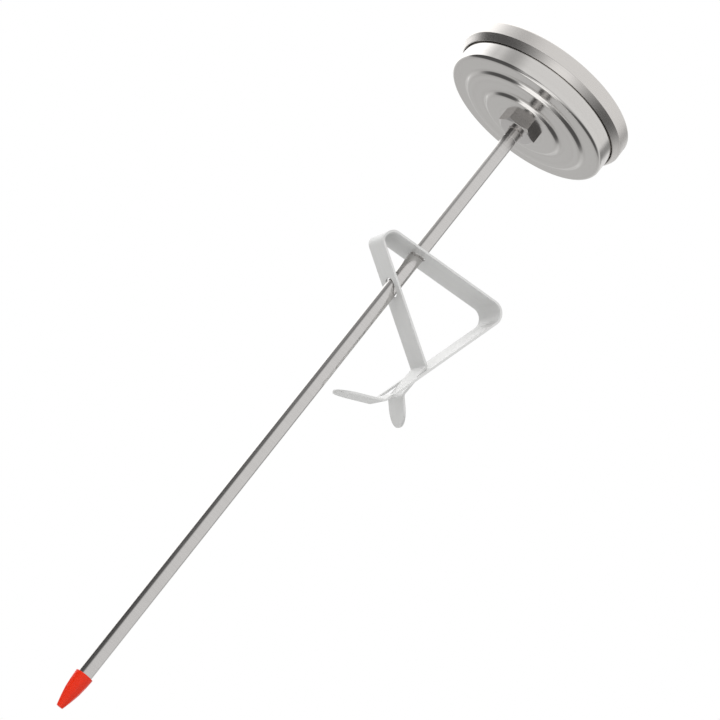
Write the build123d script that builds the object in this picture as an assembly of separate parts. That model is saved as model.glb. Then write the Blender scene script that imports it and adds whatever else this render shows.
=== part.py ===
"""Dial probe thermometer with a long stem, a sliding clip and a soft tip cap (build123d, mm).

Frame: +Z runs along the stem towards the dial, and the origin is the centre of the hex nut's
underside, the shoulder where the stem leaves the head. The clip's profile lies in the XZ plane,
its apex on the -X side. Twelve o'clock on the dial is +Y.
"""
from build123d import *
import math
import os

# ---- stem and point ----
STEM_DIAMETER = 4.0
STEM_WALL = 0.3
STEM_LENGTH = 194.4          # nut underside to the very point
POINT_LENGTH = 7.2           # conical end of the stem
POINT_RADIUS = 0.35          # blunt end of that cone
POINT_ROUND = 0.2
PLUG_DEPTH = 3.0             # how far the point's shank reaches into the tube

# ---- hex nut and the turning joint behind it ----
NUT_ACROSS_FLATS = 10.0
NUT_HEIGHT = 2.2
NUT_TURN = 10.0              # degrees from +X to the normal of one flat
NUT_CHAMFER_INSET = 0.15     # the corner chamfer starts this far inside the flats
NUT_CHAMFER_ANGLE = 30.0
SPIGOT_WALL = 1.15           # round neck of the nut that the case turns on
HUB_WASHER_WIDTH = 1.4
HUB_WASHER_THICKNESS = 0.25
SPRING_WIDTH = 2.3
SPRING_SHEET = 0.25
SPRING_RISE = 0.3
COLLAR_WIDTH = 1.7
COLLAR_HEIGHT = 1.4
COLLAR_ROUND = 0.3
RUNNING_GAP = 0.05           # between faces and shafts that turn on each other

# ---- case and bezel ----
BEZEL_RADIUS = 26.0
BEZEL_SHEET = 0.6
BEZEL_EDGE_ROUND = 0.6
BEZEL_RING_WIDTH = 4.8       # flat front ring, from the rim to the window
WINDOW_ROUND = 0.25
CRIMP_HEIGHT = 1.9           # the rolled-in lower lip of the bezel
CRIMP_EDGE = 0.35            # thickness of that lip at its lower end
CASE_SHEET = 0.6
CASE_INSET = 1.7             # case wall inside the bezel's outer radius
CASE_DEPTH = 7.55            # back plate to the underside of the case flange
CASE_EDGE_ROUND = 1.0
STEP_HEIGHT = 1.0            # each of the two terraces of the back plate
INNER_STEP_RADIUS = 10.9
BACK_MARGIN = 4.4            # flat outer annulus of the back plate, out to the wall
STEP_RUN = 2.0               # radial length of each S-shaped step
STEP_SOFTNESS = 1.6          # how long the S-shape stays level at its two ends

# ---- window, dial and spacers ----
LENS_THICKNESS = 2.0
LENS_BEVEL = 0.3
GASKET_THICKNESS = 0.8
EDGE_GAP = 0.12              # side clearance of everything that drops into the case
DIAL_THICKNESS = 0.5
DIAL_RECESS = 2.2            # dial face below the glass
DIAL_HOLE_GAP = 0.45         # round the shaft, so that the dial never touches it
DIAL_UNDER_GAP = 0.8         # between the stem's top bearing and the dial
SPACER_WALL = 1.1
SEAT_WALL = 1.4

# ---- movement ----
SHAFT_RADIUS = 0.5
POINTER_LIFT = 0.7           # pointer above the dial face
POINTER_SHEET = 0.25
POINTER_TIP_REACH = 16.5
POINTER_TIP_WIDTH = 0.25
POINTER_TAIL_REACH = 8.85
POINTER_TAIL_WIDTH = 2.6
POINTER_HUB_RADIUS = 1.9
POINTER_REST = 23.3          # degrees clockwise from six o'clock, as the pointer rests
COLLET_WALL = 0.7
COLLET_HEIGHT = 0.55
HUB_CAP_RADIUS = 1.53
HUB_CAP_HEIGHT = 0.7
HUB_CAP_ROUND = 0.42
HUB_CAP_SOCKET = 0.28        # how far the shaft reaches up into its cap
SENSOR_LENGTH = 60.0         # length of the bimetal helix
HELIX_PITCH = 3.0
HELIX_STRIP = 0.22           # thickness of the bimetal strip
HELIX_COVER = 0.86           # share of a turn that the strip's width covers
HELIX_GAP = 0.15             # between the helix and the tube
ANCHOR_LENGTH = 2.0          # spigot that the helix is welded to, at each end
BUSH_LENGTH = 4.0
BUSH_FLANGE = 0.5
BUSH_COUNT = 3
BUSH_TOP_PLACE = -12.0       # highest of the guide bushes inside the stem

# ---- clip: one bent strip ----
CLIP_SHEET = 0.6
CLIP_WIDTH = 15.0
TONGUE_WIDTH = 11.0
CLIP_PLACE = -45.1           # where its upper leg crosses the stem
APEX = (-15.5, -1.9)         # bend points (x, z), z from the clip's place
CORNER = (28.0, 3.4)
FOLD = (19.3, -22.7)
TAB_A_BEND = (18.9, -32.6)
TAB_A_END = (24.8, -38.6)
TAB_B_BEND = (16.1, -37.1)
TAB_B_END = (5.0, -42.8)
APEX_BEND_RADIUS = 1.5
CORNER_BEND_RADIUS = 3.5
FOLD_BEND_RADIUS = 0.9
TAB_BEND_RADIUS = 1.6
SLOT_TOP = -23.6             # slot in the long leg that the tongue passes through
SLOT_BOTTOM = -34.2
SLOT_SIDE_GAP = 0.5
NECK_TOP = -35.0             # below this the long leg narrows to the tongue's width
CLIP_GRIP_GAP = 0.08         # between the stem and the ends of the clip's holes
HOLE_BACK_GAP = 0.65         # both holes, from the stem towards +Y
LOWER_HOLE_FRONT = 4.2       # reach of the holes towards -Y
UPPER_HOLE_FRONT = 5.2
HOLE_CORNER = 0.8
TAB_CORNER = 5.2
WIDTH_CHANGE = 0.12          # share of the sloping leg that is still as wide as the apex
CUTTER_LENGTH = 60.0         # longer than the clip in every direction

# ---- tip cap ----
CAP_OVERLAP = 1.6            # how far the cap covers the round stem above its point
CAP_TOP_WALL = 0.5
CAP_END_WALL = 1.2           # solid end below the point
CAP_END_RADIUS = 0.9
CAP_BULGE = 0.36             # how far the side stands out from a straight taper, half-way down
CAP_FIT_GAP = 0.03
CAP_TIP_GAP = 0.2

# ---- places worked out from the sizes above ----
stem_radius = STEM_DIAMETER / 2
bore_radius = stem_radius - STEM_WALL
spigot_radius = stem_radius + SPIGOT_WALL
tube_bottom = -(STEM_LENGTH - POINT_LENGTH)
case_floor = NUT_HEIGHT + HUB_WASHER_THICKNESS
back_plane = case_floor + 2 * STEP_HEIGHT
case_radius = BEZEL_RADIUS - CASE_INSET
case_bore = case_radius - CASE_SHEET
outer_step_radius = case_radius - BACK_MARGIN - STEP_RUN
flange_bottom = back_plane + CASE_DEPTH
flange_top = flange_bottom + CASE_SHEET
lens_bottom = flange_top + GASKET_THICKNESS
lens_top = lens_bottom + LENS_THICKNESS
bezel_top = lens_top + BEZEL_SHEET
bezel_bore = BEZEL_RADIUS - BEZEL_SHEET
dial_top = lens_bottom - DIAL_RECESS
dial_bottom = dial_top - DIAL_THICKNESS
tube_top = dial_bottom - DIAL_UNDER_GAP - BUSH_FLANGE
pointer_bottom = dial_top + POINTER_LIFT
pointer_top = pointer_bottom + POINTER_SHEET
inner_floor = case_floor + CASE_SHEET
spring_bottom = inner_floor + RUNNING_GAP
collar_bottom = spring_bottom + SPRING_RISE + SPRING_SHEET
collar_top = collar_bottom + COLLAR_HEIGHT
plug_top = tube_bottom + PLUG_DEPTH
helix_bottom = plug_top
helix_top = helix_bottom + SENSOR_LENGTH
helix_radius = bore_radius - HELIX_GAP
helix_bore = helix_radius - HELIX_STRIP
cap_top = tube_bottom + CAP_OVERLAP
cap_bottom = -STEM_LENGTH - CAP_END_WALL
cap_top_radius = stem_radius + CAP_TOP_WALL


def turned(points, *rounds):
    """A solid of revolution about Z from an (r, z) outline; each round is (radius, r, z)."""
    face = make_face(Polyline(*[(r, 0, z) for r, z in points], close=True))
    for radius, r, z in rounds:
        corner = min(face.vertices(), key=lambda v: math.hypot(v.X - r, v.Z - z))
        face = fillet(corner, radius)
    return revolve(face, Axis.Z)


def ring(inner, outer, bottom, top):
    """A plain ring about Z, or a disc when inner is 0."""
    section = Circle(outer)
    if inner > 0:
        section = section - Circle(inner)
    return Pos(0, 0, bottom) * extrude(section, top - bottom)


# ---------------------------------------------------------------- stem group

def stem_tube():
    """Drawn tube from the point up into the head."""
    return ring(bore_radius, stem_radius, tube_bottom, tube_top)


def stem_point():
    """Pointed plug welded into the tube's end, with the spigot that anchors the helix."""
    outline = [
        (0, -STEM_LENGTH),
        (POINT_RADIUS, -STEM_LENGTH),
        (stem_radius, tube_bottom),
        (bore_radius, tube_bottom),
        (bore_radius, plug_top),
        (helix_bore, plug_top),
        (helix_bore, plug_top + ANCHOR_LENGTH),
        (0, plug_top + ANCHOR_LENGTH),
    ]
    return turned(outline, (POINT_ROUND, POINT_RADIUS, -STEM_LENGTH))


def hex_nut():
    """Hexagon with chamfered corners and the round neck that carries the case."""
    corner_radius = NUT_ACROSS_FLATS / math.sqrt(3)
    face_radius = NUT_ACROSS_FLATS / 2 - NUT_CHAMFER_INSET
    rise = (corner_radius - face_radius) * math.tan(math.radians(NUT_CHAMFER_ANGLE))
    hexagon = Rot(0, 0, NUT_TURN - 30) * extrude(RegularPolygon(corner_radius, 6), NUT_HEIGHT)
    trim = turned([
        (0, 0),
        (face_radius, 0),
        (corner_radius, rise),
        (corner_radius, NUT_HEIGHT),
        (0, NUT_HEIGHT),
    ])
    neck = ring(0, spigot_radius, NUT_HEIGHT, collar_top)
    bore = ring(0, stem_radius, 0, collar_top)
    return (hexagon & trim) + neck - bore


def hub_washer():
    """Thin sealing washer between the nut and the case."""
    return ring(spigot_radius, spigot_radius + HUB_WASHER_WIDTH, NUT_HEIGHT, case_floor - RUNNING_GAP)


def friction_spring():
    """Dished spring washer that gives the case its turning friction."""
    edge = spigot_radius + SPRING_WIDTH
    outline = [
        (edge, spring_bottom),
        (edge, spring_bottom + SPRING_SHEET),
        (spigot_radius, collar_bottom),
        (spigot_radius, collar_bottom - SPRING_SHEET),
    ]
    return turned(outline)


def retaining_collar():
    """Collar pressed on the nut's neck; it holds the spring and the case on."""
    edge = spigot_radius + COLLAR_WIDTH
    outline = [
        (spigot_radius, collar_bottom),
        (edge, collar_bottom),
        (edge, collar_top),
        (spigot_radius, collar_top),
    ]
    return turned(outline, (COLLAR_ROUND, edge, collar_top))


def guide_bush(index):
    """One of the short bushes along the stem that keep the shaft straight."""
    span = BUSH_TOP_PLACE - (helix_top + 2 * BUSH_LENGTH)
    bottom = BUSH_TOP_PLACE - span * index / (BUSH_COUNT - 1)
    return ring(SHAFT_RADIUS + RUNNING_GAP, bore_radius, bottom, bottom + BUSH_LENGTH)


def top_bearing():
    """Flanged bearing in the tube's upper end, under the dial."""
    inner = SHAFT_RADIUS + RUNNING_GAP
    outline = [
        (inner, tube_top - BUSH_LENGTH),
        (bore_radius, tube_top - BUSH_LENGTH),
        (bore_radius, tube_top),
        (stem_radius, tube_top),
        (stem_radius, tube_top + BUSH_FLANGE),
        (inner, tube_top + BUSH_FLANGE),
    ]
    return turned(outline)


def around(radius, degrees):
    """A point on a circle about Z, in the XY plane."""
    return Vector(radius * math.cos(math.radians(degrees)), radius * math.sin(math.radians(degrees)), 0)


def bimetal_helix():
    """Helical bimetal strip: a slit tube section twisted along Z."""
    cover = 360 * HELIX_COVER
    outline = Wire([
        ThreePointArc(*[around(helix_radius, turn) for turn in (0, cover / 2, cover)]),
        Line(around(helix_radius, cover), around(helix_bore, cover)),
        ThreePointArc(*[around(helix_bore, turn) for turn in (cover, cover / 2, 0)]),
        Line(around(helix_bore, 0), around(helix_radius, 0)),
    ])
    section = make_face(outline.edges()).face()
    turns = SENSOR_LENGTH / HELIX_PITCH
    twisted = Solid.extrude_linear_with_rotation(section, (0, 0, 0), (0, 0, SENSOR_LENGTH), turns * 360)
    return Pos(0, 0, helix_bottom) * twisted


# ---------------------------------------------------------------- head group

def case_side(wall, corner, lift, top):
    """Edges along one side of the case sheet: hub, two S-shaped steps, corner and wall."""
    here = Vector(spigot_radius + RUNNING_GAP, 0, case_floor + lift)
    route = []
    for step, radius in enumerate((INNER_STEP_RADIUS, outer_step_radius)):
        start = Vector(radius, 0, here.Z)
        end = Vector(radius + STEP_RUN, 0, here.Z + STEP_HEIGHT)
        route.append(Line(here, start))
        softness = [STEP_SOFTNESS, STEP_SOFTNESS]
        route.append(Spline(start, end, tangents=[(1, 0, 0), (1, 0, 0)], tangent_scalars=softness))
        here = end
    corner_start = Vector(wall - corner, 0, here.Z)
    corner_end = Vector(wall, 0, here.Z + corner)
    route.append(Line(here, corner_start))
    route.append(TangentArc(corner_start, corner_end, tangent=(1, 0, 0)))
    route.append(Line(corner_end, Vector(wall, 0, top)))
    return route


def rear_case():
    """Drawn cup: hub, terraced back plate, wall and outward flange."""
    bore = spigot_radius + RUNNING_GAP
    flange_edge = bezel_bore - EDGE_GAP
    outside = case_side(case_radius, CASE_EDGE_ROUND, 0, flange_bottom)
    inside = case_side(case_bore, CASE_EDGE_ROUND - CASE_SHEET, CASE_SHEET, flange_top)
    flange = [
        Line((case_radius, 0, flange_bottom), (flange_edge, 0, flange_bottom)),
        Line((flange_edge, 0, flange_bottom), (flange_edge, 0, flange_top)),
        Line((flange_edge, 0, flange_top), (case_bore, 0, flange_top)),
    ]
    hub = Line((bore, 0, case_floor), (bore, 0, inner_floor))
    profile = make_face([*outside, *flange, *inside, hub])
    return revolve(profile, Axis.Z)


def bezel_ring():
    """Front ring, cylindrical rim and the lip crimped in under the case flange."""
    window = BEZEL_RADIUS - BEZEL_RING_WIDTH
    rim_low = flange_bottom - RUNNING_GAP
    lip_low = rim_low - CRIMP_HEIGHT
    lip_bore = case_radius + RUNNING_GAP
    outline = [
        (window, lens_top),
        (bezel_bore, lens_top),
        (bezel_bore, rim_low),
        (lip_bore, lip_low),
        (lip_bore + CRIMP_EDGE, lip_low),
        (BEZEL_RADIUS, rim_low),
        (BEZEL_RADIUS, bezel_top),
        (window, bezel_top),
    ]
    edge_round = (BEZEL_EDGE_ROUND, BEZEL_RADIUS, bezel_top)
    return turned(outline, edge_round, (WINDOW_ROUND, window, bezel_top))


def glass_lens():
    """Flat window with a small bevel round its edge."""
    edge = bezel_bore - EDGE_GAP
    disc = ring(0, edge, lens_bottom, lens_top)
    return chamfer(disc.edges().filter_by(GeomType.CIRCLE).group_by(Axis.Z)[-1], LENS_BEVEL)


def lens_gasket():
    """Soft flat ring between the case flange and the glass."""
    return ring(case_bore + EDGE_GAP, bezel_bore - EDGE_GAP, flange_top, lens_bottom)


def dial_plate():
    """Printed disc with a hole for the shaft."""
    return ring(SHAFT_RADIUS + DIAL_HOLE_GAP, case_bore - EDGE_GAP, dial_bottom, dial_top)


def dial_seat():
    """Ring on the case floor that the dial rests on."""
    outer = case_bore - CASE_EDGE_ROUND + CASE_SHEET
    return ring(outer - SEAT_WALL, outer, back_plane + CASE_SHEET, dial_bottom)


def dial_spacer():
    """Ring that holds the dial down and the glass up."""
    outer = case_bore - EDGE_GAP
    return ring(outer - SPACER_WALL, outer, dial_top, lens_bottom)


# ---------------------------------------------------------------- pointer group

def pointer_shaft():
    """Thin wire that carries the twist of the helix up to the dial."""
    return ring(0, SHAFT_RADIUS, helix_top - ANCHOR_LENGTH, pointer_top + HUB_CAP_SOCKET)


def helix_head():
    """Small drum on the shaft that the helix's upper turn is welded to."""
    return ring(SHAFT_RADIUS, helix_bore - RUNNING_GAP, helix_top - ANCHOR_LENGTH, helix_top)


def pointer_collet():
    """Brass collet pressed on the shaft under the pointer."""
    return ring(SHAFT_RADIUS, SHAFT_RADIUS + COLLET_WALL, pointer_bottom - COLLET_HEIGHT, pointer_bottom)


def pointer():
    """Flat tapered needle with a round hub and a broad tail."""
    half_tail = POINTER_TAIL_WIDTH / 2
    half_tip = POINTER_TIP_WIDTH / 2
    needle = make_face(Polyline(
        (-half_tail, -POINTER_TAIL_REACH),
        (half_tail, -POINTER_TAIL_REACH),
        (half_tip, POINTER_TIP_REACH),
        (-half_tip, POINTER_TIP_REACH),
        close=True,
    ))
    outline = needle + Circle(POINTER_HUB_RADIUS) - Circle(SHAFT_RADIUS)
    sheet = extrude(outline, POINTER_SHEET)
    return Pos(0, 0, pointer_bottom) * Rot(0, 0, 180 - POINTER_REST) * sheet


def pointer_cap():
    """Small domed cap over the end of the shaft."""
    cap = ring(0, HUB_CAP_RADIUS, pointer_top, pointer_top + HUB_CAP_HEIGHT)
    cap = fillet(cap.edges().group_by(Axis.Z)[-1], HUB_CAP_ROUND)
    return cap - pointer_shaft()


# ---------------------------------------------------------------- clip and cap

def strip(points, radii, width):
    """Bent sheet of the clip's thickness along an (x, z) route, centred on the XZ plane."""
    corners = [Vector(x, CLIP_PLACE + z) for x, z in points]
    route = FilletPolyline(*corners, radius=radii)
    band = trace(route, line_width=CLIP_SHEET)
    flat = extrude(band, width / 2, both=True)
    return Rot(90, 0, 0) * flat


def crossing(start, end):
    """Height at which a leg crosses the stem's axis, and its tilt from level in degrees."""
    tilt = math.atan2(end[1] - start[1], end[0] - start[0])
    height = start[1] - start[0] * math.tan(tilt)
    return CLIP_PLACE + height, math.degrees(tilt)


def stem_hole(start, end, front):
    """Cutter for the hole in one leg; its length along the leg clears the tilted stem."""
    height, tilt = crossing(start, end)
    lean = math.radians(abs(tilt))
    length = (STEM_DIAMETER + 2 * CLIP_GRIP_GAP + CLIP_SHEET * math.sin(lean)) / math.cos(lean)
    back = stem_radius + HOLE_BACK_GAP
    shape = Pos(0, (back - front) / 2) * RectangleRounded(length, back + front, HOLE_CORNER)
    return Pos(0, 0, height) * Rot(0, -tilt, 0) * extrude(shape, 2 * CLIP_SHEET, both=True)


def round_tab(body, end):
    """Round the two free corners of a tab that ends at an (x, z) point."""

    def offset(edge):
        middle = edge.center()
        return math.hypot(middle.X - end[0], middle.Z - CLIP_PLACE - end[1])

    return fillet(sorted(body.edges(), key=offset)[:2], TAB_CORNER)


def long_strip(start):
    """Wide part of the clip: apex, upper leg, and the long leg with its slot, neck and tab."""
    radii = [APEX_BEND_RADIUS, CORNER_BEND_RADIUS, TAB_BEND_RADIUS]
    body = strip([start, APEX, CORNER, TAB_B_BEND, TAB_B_END], radii, CLIP_WIDTH)
    side = CLIP_WIDTH - TONGUE_WIDTH
    hanging = (Align.CENTER, Align.CENTER, Align.MAX)
    for edge in (-CLIP_WIDTH / 2, CLIP_WIDTH / 2):
        notch = Box(2 * CUTTER_LENGTH, side, CUTTER_LENGTH, align=hanging)
        body = body - Pos(0, edge, CLIP_PLACE + NECK_TOP) * notch
    slot_width = TONGUE_WIDTH + 2 * SLOT_SIDE_GAP
    slot = Box(CUTTER_LENGTH / 2, slot_width, SLOT_TOP - SLOT_BOTTOM, align=hanging)
    body = body - Pos(CORNER[0], 0, CLIP_PLACE + SLOT_TOP) * slot
    return round_tab(body, TAB_B_END)


def pan_clip():
    """Spring clip bent from one strip, its narrow tongue passing through the long leg's slot."""
    start = tuple(a + (b - a) * WIDTH_CHANGE for a, b in zip(APEX, FOLD))
    radii = [FOLD_BEND_RADIUS, TAB_BEND_RADIUS]
    tongue = strip([start, FOLD, TAB_A_BEND, TAB_A_END], radii, TONGUE_WIDTH)
    clip = long_strip(start) + round_tab(tongue, TAB_A_END)
    clip = clip - stem_hole(APEX, CORNER, UPPER_HOLE_FRONT)
    return clip - stem_hole(APEX, FOLD, LOWER_HOLE_FRONT)


def tip_cap():
    """Soft cap pushed over the pointed end."""
    middle_radius = (cap_top_radius + CAP_END_RADIUS) / 2 + CAP_BULGE
    upper = Vector(cap_top_radius, 0, cap_top)
    middle = Vector(middle_radius, 0, (cap_top + cap_bottom) / 2)
    lower = Vector(CAP_END_RADIUS, 0, cap_bottom)
    hollow = [
        (0, 0, cap_bottom),
        (0, 0, -STEM_LENGTH - CAP_TIP_GAP),
        (POINT_RADIUS + CAP_FIT_GAP, 0, -STEM_LENGTH - CAP_TIP_GAP),
        (stem_radius + CAP_FIT_GAP, 0, tube_bottom),
        (stem_radius + CAP_FIT_GAP, 0, cap_top),
    ]
    route = [Line(hollow[-1], upper), ThreePointArc(upper, middle, lower), Line(lower, hollow[0])]
    route += [Line(first, second) for first, second in zip(hollow, hollow[1:])]
    return revolve(make_face(route), Axis.Z)


NODES = {
    "stem_tube": stem_tube,
    "stem_point": stem_point,
    "hex_nut": hex_nut,
    "hub_washer": hub_washer,
    "friction_spring": friction_spring,
    "retaining_collar": retaining_collar,
    "top_bearing": top_bearing,
    "bimetal_helix": bimetal_helix,
    "rear_case": rear_case,
    "bezel_ring": bezel_ring,
    "glass_lens": glass_lens,
    "lens_gasket": lens_gasket,
    "dial_plate": dial_plate,
    "dial_seat": dial_seat,
    "dial_spacer": dial_spacer,
    "pointer_shaft": pointer_shaft,
    "helix_head": helix_head,
    "pointer_collet": pointer_collet,
    "pointer": pointer,
    "pointer_cap": pointer_cap,
    "pan_clip": pan_clip,
    "tip_cap": tip_cap,
}

if __name__ == "__main__":
    os.makedirs("parts", exist_ok=True)
    for name, make in NODES.items():
        export_step(make(), f"parts/{name}.step")
    for index in range(BUSH_COUNT):
        export_step(guide_bush(index), f"parts/guide_bush_{index + 1}.step")
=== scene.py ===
"""Looks of a dial thermometer with a long probe stem, a bent spring clip and a soft point cap.

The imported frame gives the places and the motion. Every piece that shows is modelled here again with
smooth surfaces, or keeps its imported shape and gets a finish. Sizes in the classes are millimetres, +Z
runs up the stem to the dial, and +Y is twelve o'clock on the dial.
"""

import logging
import math
from collections.abc import Callable, Sequence
from dataclasses import dataclass, field
from enum import Enum

import bmesh
import bpy
from mathutils import Matrix, Vector


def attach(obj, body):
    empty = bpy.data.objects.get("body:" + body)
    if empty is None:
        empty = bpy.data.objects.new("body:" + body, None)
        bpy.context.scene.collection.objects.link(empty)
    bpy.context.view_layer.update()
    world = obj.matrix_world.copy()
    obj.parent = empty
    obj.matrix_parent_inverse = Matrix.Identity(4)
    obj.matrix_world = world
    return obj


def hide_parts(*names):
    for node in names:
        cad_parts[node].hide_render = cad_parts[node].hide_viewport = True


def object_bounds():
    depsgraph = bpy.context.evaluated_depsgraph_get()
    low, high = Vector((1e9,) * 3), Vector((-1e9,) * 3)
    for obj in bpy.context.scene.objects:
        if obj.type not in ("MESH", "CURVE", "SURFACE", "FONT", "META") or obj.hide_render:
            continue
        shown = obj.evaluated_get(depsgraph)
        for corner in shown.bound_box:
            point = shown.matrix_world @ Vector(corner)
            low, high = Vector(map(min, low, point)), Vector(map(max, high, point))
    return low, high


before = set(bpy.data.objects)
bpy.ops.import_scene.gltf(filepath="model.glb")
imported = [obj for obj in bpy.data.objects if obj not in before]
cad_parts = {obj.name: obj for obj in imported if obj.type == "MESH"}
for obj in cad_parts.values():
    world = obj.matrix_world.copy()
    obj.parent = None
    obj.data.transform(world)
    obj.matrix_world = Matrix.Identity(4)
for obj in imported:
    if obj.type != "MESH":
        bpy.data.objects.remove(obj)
cad_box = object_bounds()

MM = 0.001
ARC_STEP = 12.0          # degrees of a rounded corner that one facet covers
TURN_STEPS = 180         # facets round a turned piece of the head
THIN_TURN_STEPS = 64     # facets round the stem and other thin pieces
MERGE = 0.0005           # points closer than this are one point
SHARP_ANGLE = 35.0       # an edge that turns more than this stays sharp
EDGE_STEPS = 2           # facets across a softened edge
CORNER_STEPS = 8         # facets round a corner of a flat sheet
LETTER_STEPS = 4         # facets along each curve of a letter
X_TO_SIX = 90.0          # degrees clockwise from +X, where a piece is drawn, to six o'clock

log = logging.getLogger("thermometer")

Socket = bpy.types.NodeSocket
Piece = bpy.types.Object
Wanted = Callable[[Vector], bool]


# ---------------------------------------------------------------- modelling helpers


@dataclass(frozen=True)
class Corner:
    """A corner of a route in the XZ plane, in millimetres; bend is its rounding radius."""

    x: float
    z: float
    bend: float = 0.0

    def place(self) -> Vector:
        """The corner's place in metres."""
        return Vector((self.x, 0.0, self.z)) * MM


def metres(x: float, y: float, z: float) -> Vector:
    """A place or a size in metres, from millimetres."""
    return Vector((x, y, z)) * MM


def stop_editing() -> None:
    """Leaves edit mode and deselects every object."""
    if bpy.context.object is not None and bpy.context.object.mode != "OBJECT":
        bpy.ops.object.mode_set(mode="OBJECT")
    bpy.ops.object.select_all(action="DESELECT")


def make_active(piece: Piece) -> None:
    """Selects one object alone and makes it the active one.

    Args:
        piece: The object to select.
    """
    stop_editing()
    piece.select_set(True)
    bpy.context.view_layer.objects.active = piece


def start_piece(name: str, place: Vector) -> Piece:
    """Adds a small plane, in edit mode, and shrinks it to the one point where a route starts.

    Args:
        name: Name of the new piece.
        place: Where the point stands, in metres.

    Returns:
        The new object, in edit mode, with its origin at the world's origin.
    """
    stop_editing()
    bpy.ops.mesh.primitive_plane_add(size=MM)
    piece = bpy.context.object
    piece.name = name
    bpy.ops.object.mode_set(mode="EDIT")
    bpy.ops.mesh.select_mode(type="VERT")
    bpy.ops.mesh.select_all(action="SELECT")
    bpy.ops.mesh.merge(type="CENTER")
    bpy.ops.transform.translate(value=place)
    return piece


def extrude(step: Vector) -> None:
    """Extrudes what is selected in edit mode by a step in metres."""
    bpy.ops.mesh.extrude_region_move(TRANSFORM_OT_translate={"value": step})


def draw_route(corners: Sequence[Corner], arc_step: float = ARC_STEP) -> None:
    """Extrudes the selection along straight runs in the XZ plane, with a spin at each rounded corner.

    Args:
        corners: The route; the selection stands at the first corner.
        arc_step: Degrees that each facet of an arc covers.
    """
    here = corners[0].place()
    for before, corner, after in zip(corners, corners[1:], corners[2:]):
        place = corner.place()
        back = (before.place() - place).normalized()
        ahead = (after.place() - place).normalized()
        turn = math.pi - back.angle(ahead)
        reach = corner.bend * MM * math.tan(turn / 2)
        extrude(place + back * reach - here)
        here = place + ahead * reach
        if corner.bend > 0:
            centre = place + (back + ahead).normalized() * corner.bend * MM / math.cos(turn / 2)
            sense = 1.0 if back.z * ahead.x > back.x * ahead.z else -1.0
            steps = max(2, math.ceil(math.degrees(turn) / arc_step))
            bpy.ops.mesh.spin(steps=steps, angle=sense * turn, center=centre, axis=(0, 1, 0))
    extrude(corners[-1].place() - here)


def close_seams(outward: bool = True) -> None:
    """Merges doubled points in edit mode.

    Args:
        outward: Whether all faces are also turned outwards.
    """
    bpy.ops.mesh.select_all(action="SELECT")
    bpy.ops.mesh.remove_doubles(threshold=MERGE * MM)
    if outward:
        bpy.ops.mesh.normals_make_consistent(inside=False)


def turned(name: str, outline: Sequence[Corner], steps: int = TURN_STEPS) -> Piece:
    """Turns an outline about Z, as on a lathe.

    Args:
        name: Name of the new piece.
        outline: Corners of the section. One whose first and last corners both stand on the axis is left
            open there, and any other is closed.
        steps: Facets round the piece.

    Returns:
        The closed solid, in object mode.
    """
    on_axis = outline[0].x == 0 and outline[-1].x == 0
    route = list(outline)
    if not on_axis:
        middle = Corner((outline[0].x + outline[-1].x) / 2, (outline[0].z + outline[-1].z) / 2)
        route = [middle, *outline, middle]
    piece = start_piece(name, route[0].place())
    draw_route(route)
    close_seams(outward=False)
    bpy.ops.mesh.select_all(action="SELECT")
    bpy.ops.mesh.spin(steps=steps, angle=math.tau, center=(0, 0, 0), axis=(0, 0, 1))
    close_seams()
    return smoothed(piece)


def pick(piece: Piece, wanted: Wanted, kind: str = "FACE") -> None:
    """Selects, in edit mode, the faces, edges or points whose middle passes a test.

    Args:
        piece: The object in edit mode.
        wanted: Test on a middle point, given in millimetres.
        kind: FACE, EDGE or VERT.
    """
    bpy.ops.mesh.select_mode(type=kind)
    bpy.ops.mesh.select_all(action="DESELECT")
    mesh = bmesh.from_edit_mesh(piece.data)
    parts = {"FACE": mesh.faces, "EDGE": mesh.edges, "VERT": mesh.verts}[kind]
    for part in parts:
        corners = [part.co] if kind == "VERT" else [corner.co for corner in part.verts]
        middle = sum(corners, Vector()) / len(corners)
        part.select_set(wanted(middle / MM))
    mesh.select_flush_mode()
    bmesh.update_edit_mesh(piece.data)


def score(piece: Piece, wanted: Wanted, place: Vector, normal: Vector) -> None:
    """Cuts new edges where a plane crosses the picked faces of the piece in edit mode.

    Args:
        piece: The object in edit mode.
        wanted: Test on a face's middle, given in millimetres.
        place: A point of the plane, in millimetres.
        normal: The plane's normal.
    """
    pick(piece, wanted)
    bpy.ops.mesh.bisect(plane_co=place * MM, plane_no=normal)


def apply_modifier(piece: Piece, kind: str, **settings: object) -> None:
    """Adds one modifier and applies it.

    Args:
        piece: The object to change.
        kind: The modifier's type name.
        **settings: The modifier's own settings.
    """
    make_active(piece)
    modifier = piece.modifiers.new(kind.title(), kind)
    for key, value in settings.items():
        setattr(modifier, key, value)
    bpy.ops.object.modifier_apply(modifier=modifier.name)


def smoothed(piece: Piece, angle: float = SHARP_ANGLE) -> Piece:
    """Shades a piece smooth between its sharp edges, with the flat faces kept flat.

    Args:
        piece: The object to shade.
        angle: Edges that turn by more degrees than this stay sharp.

    Returns:
        The same object.
    """
    make_active(piece)
    bpy.ops.object.shade_smooth_by_angle(angle=math.radians(angle))
    apply_modifier(piece, "WEIGHTED_NORMAL", keep_sharp=True)
    return piece


def combine(piece: Piece, other: Piece, operation: str) -> None:
    """Joins a piece with another, cuts it or keeps what both share; the other is then removed.

    Args:
        piece: The object to change.
        other: The second solid.
        operation: UNION, DIFFERENCE or INTERSECT.
    """
    apply_modifier(piece, "BOOLEAN", object=other, operation=operation, solver="EXACT")
    bpy.data.objects.remove(other)
    bpy.ops.object.mode_set(mode="EDIT")
    close_seams(outward=False)
    bpy.ops.mesh.dissolve_degenerate(threshold=MERGE * MM)
    bpy.ops.object.mode_set(mode="OBJECT")


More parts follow.
